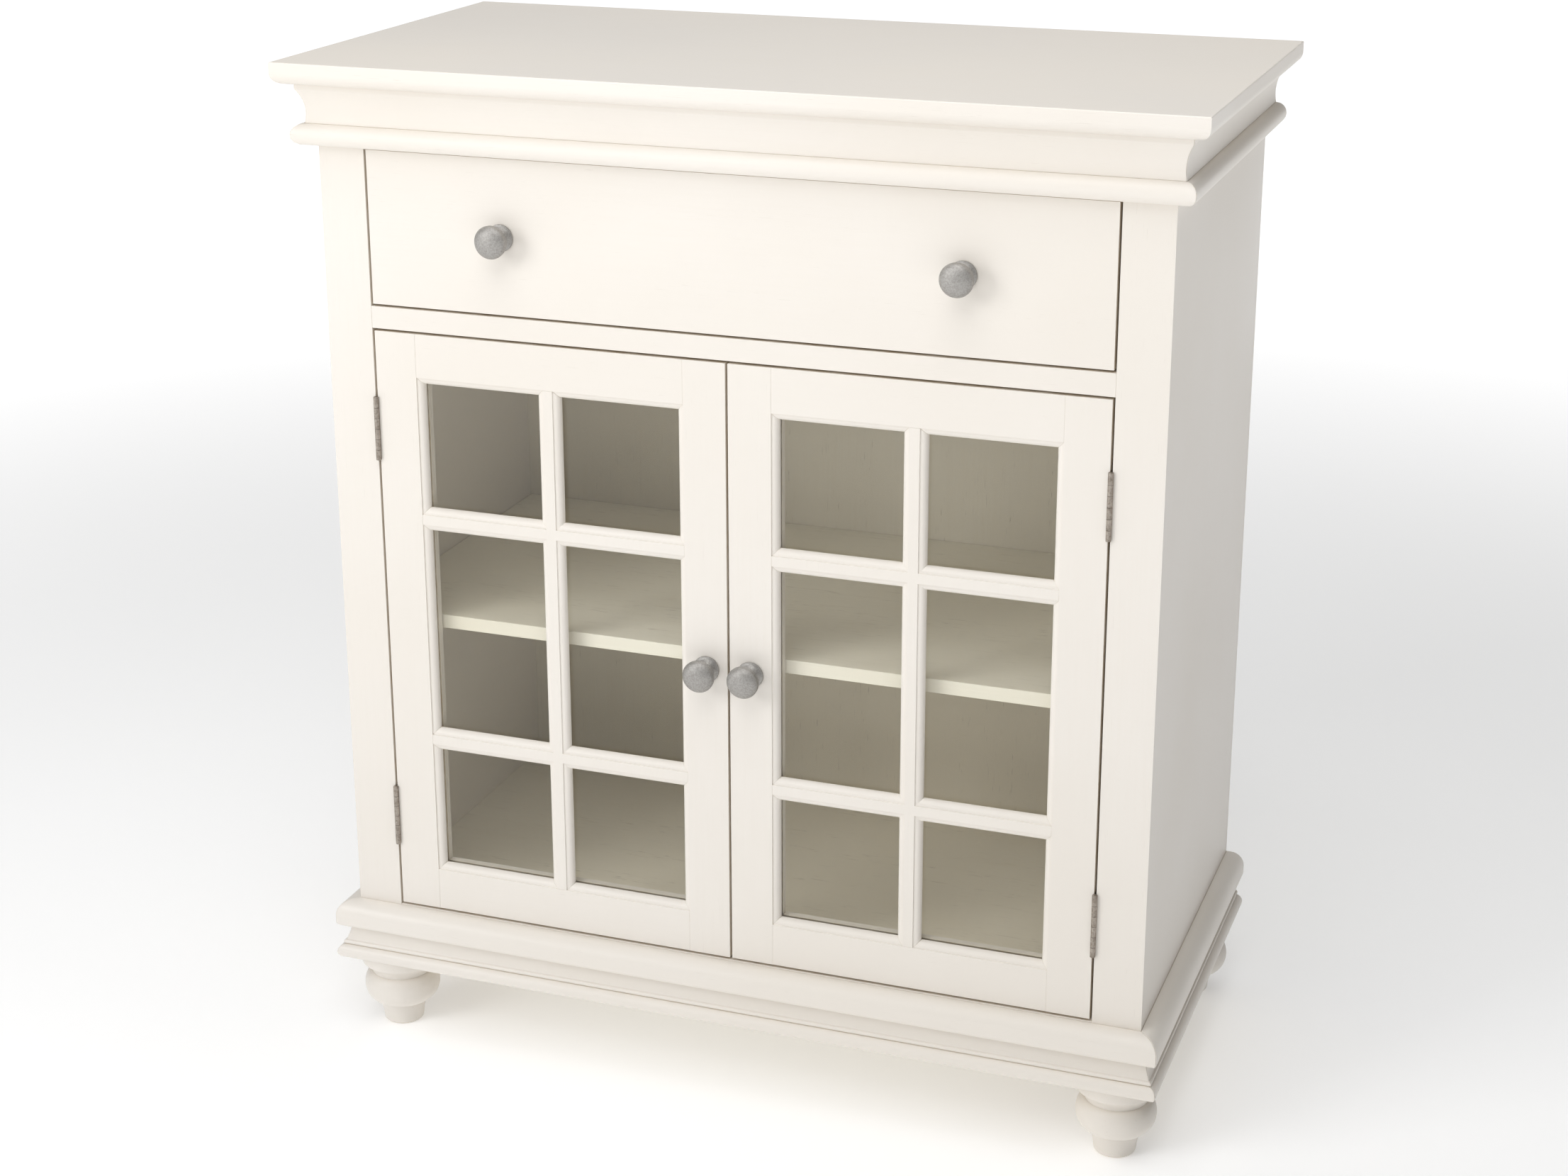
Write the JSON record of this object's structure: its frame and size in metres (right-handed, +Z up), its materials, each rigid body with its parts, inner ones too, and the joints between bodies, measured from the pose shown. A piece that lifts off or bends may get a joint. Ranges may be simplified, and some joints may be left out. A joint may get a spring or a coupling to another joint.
{
  "type": "glazed storage cabinet",
  "caption": "Painted floor cabinet with a wide drawer over two hinged glazed doors, an inner shelf, moulded top and base, and turned feet.",
  "frame": {"origin": "on the floor, under the middle of the cabinet's overall box", "axes": "+Z up, -Y out of the front, +X to the right as seen from the front"},
  "size_m": [0.813, 0.4154, 0.933],
  "materials": {
    "paint": "satin ivory paint on wood",
    "inside_paint": "thin washed paint over open grain",
    "bare_wood": "sanded bare softwood",
    "pewter": "aged pewter",
    "nickel": "aged nickel plate",
    "steel": "zinc plated",
    "catch_plastic": "matte white",
    "glass": "clear float glass"
  },
  "bodies": {
    "cabinet": {"left_side": "paint", "right_side": "paint", "back_panel": "inside_paint", "bottom_panel": "inside_paint", "dust_panel": "inside_paint", "top": "paint", "left_stile": "paint", "right_stile": "paint", "top_rail": "paint", "mid_rail": "paint", "bottom_rail": "paint", "cornice_cove": "paint", "cornice_bead": "paint", "base_nosing": "paint", "base_flare": "paint", "base_bead": "paint", "front_left_foot": "paint", "front_right_foot": "paint", "back_left_foot": "paint", "back_right_foot": "paint", "foot_blocks": "bare_wood", "foot_bolts": "steel", "shelf": "inside_paint", "shelf_pins": "steel", "drawer_runners": "bare_wood", "door_catches": "catch_plastic", "frame_hinge_leaves": "nickel", "frame_hinge_screws": "steel", "hinge_pins": "nickel"},
    "drawer": {"drawer_front": "paint", "drawer_sides": "bare_wood", "drawer_back": "bare_wood", "drawer_bottom": "bare_wood", "drawer_knobs": "pewter", "drawer_knob_screws": "steel"},
    "left_door": {"left_door_hinge_stile": "paint", "left_door_meeting_stile": "paint", "left_door_top_rail": "paint", "left_door_bottom_rail": "paint", "left_door_bars": "paint", "left_door_glass": "glass", "left_door_beads": "paint", "left_door_knob": "pewter", "left_door_knob_screw": "steel", "left_door_leaves": "nickel", "left_door_leaf_screws": "steel", "left_door_strike": "steel"},
    "right_door": {"right_door_hinge_stile": "paint", "right_door_meeting_stile": "paint", "right_door_top_rail": "paint", "right_door_bottom_rail": "paint", "right_door_bars": "paint", "right_door_glass": "glass", "right_door_beads": "paint", "right_door_knob": "pewter", "right_door_knob_screw": "steel", "right_door_leaves": "nickel", "right_door_leaf_screws": "steel", "right_door_strike": "steel"}
  },
  "joints": [
    {"name": "drawer_slide", "type": "slide", "parent": "cabinet", "child": "drawer", "axis": [0, -1, 0], "range_m": [0, 0.28]},
    {"name": "left_door_hinge", "type": "hinge", "parent": "cabinet", "child": "left_door", "pos_m": [-0.3334, -0.18105, 0.41775], "axis": [0, 0, -1], "range_deg": [0, 170]},
    {"name": "right_door_hinge", "type": "hinge", "parent": "cabinet", "child": "right_door", "pos_m": [0.3334, -0.18105, 0.41775], "axis": [0, 0, 1], "range_deg": [0, 170]}
  ]
}
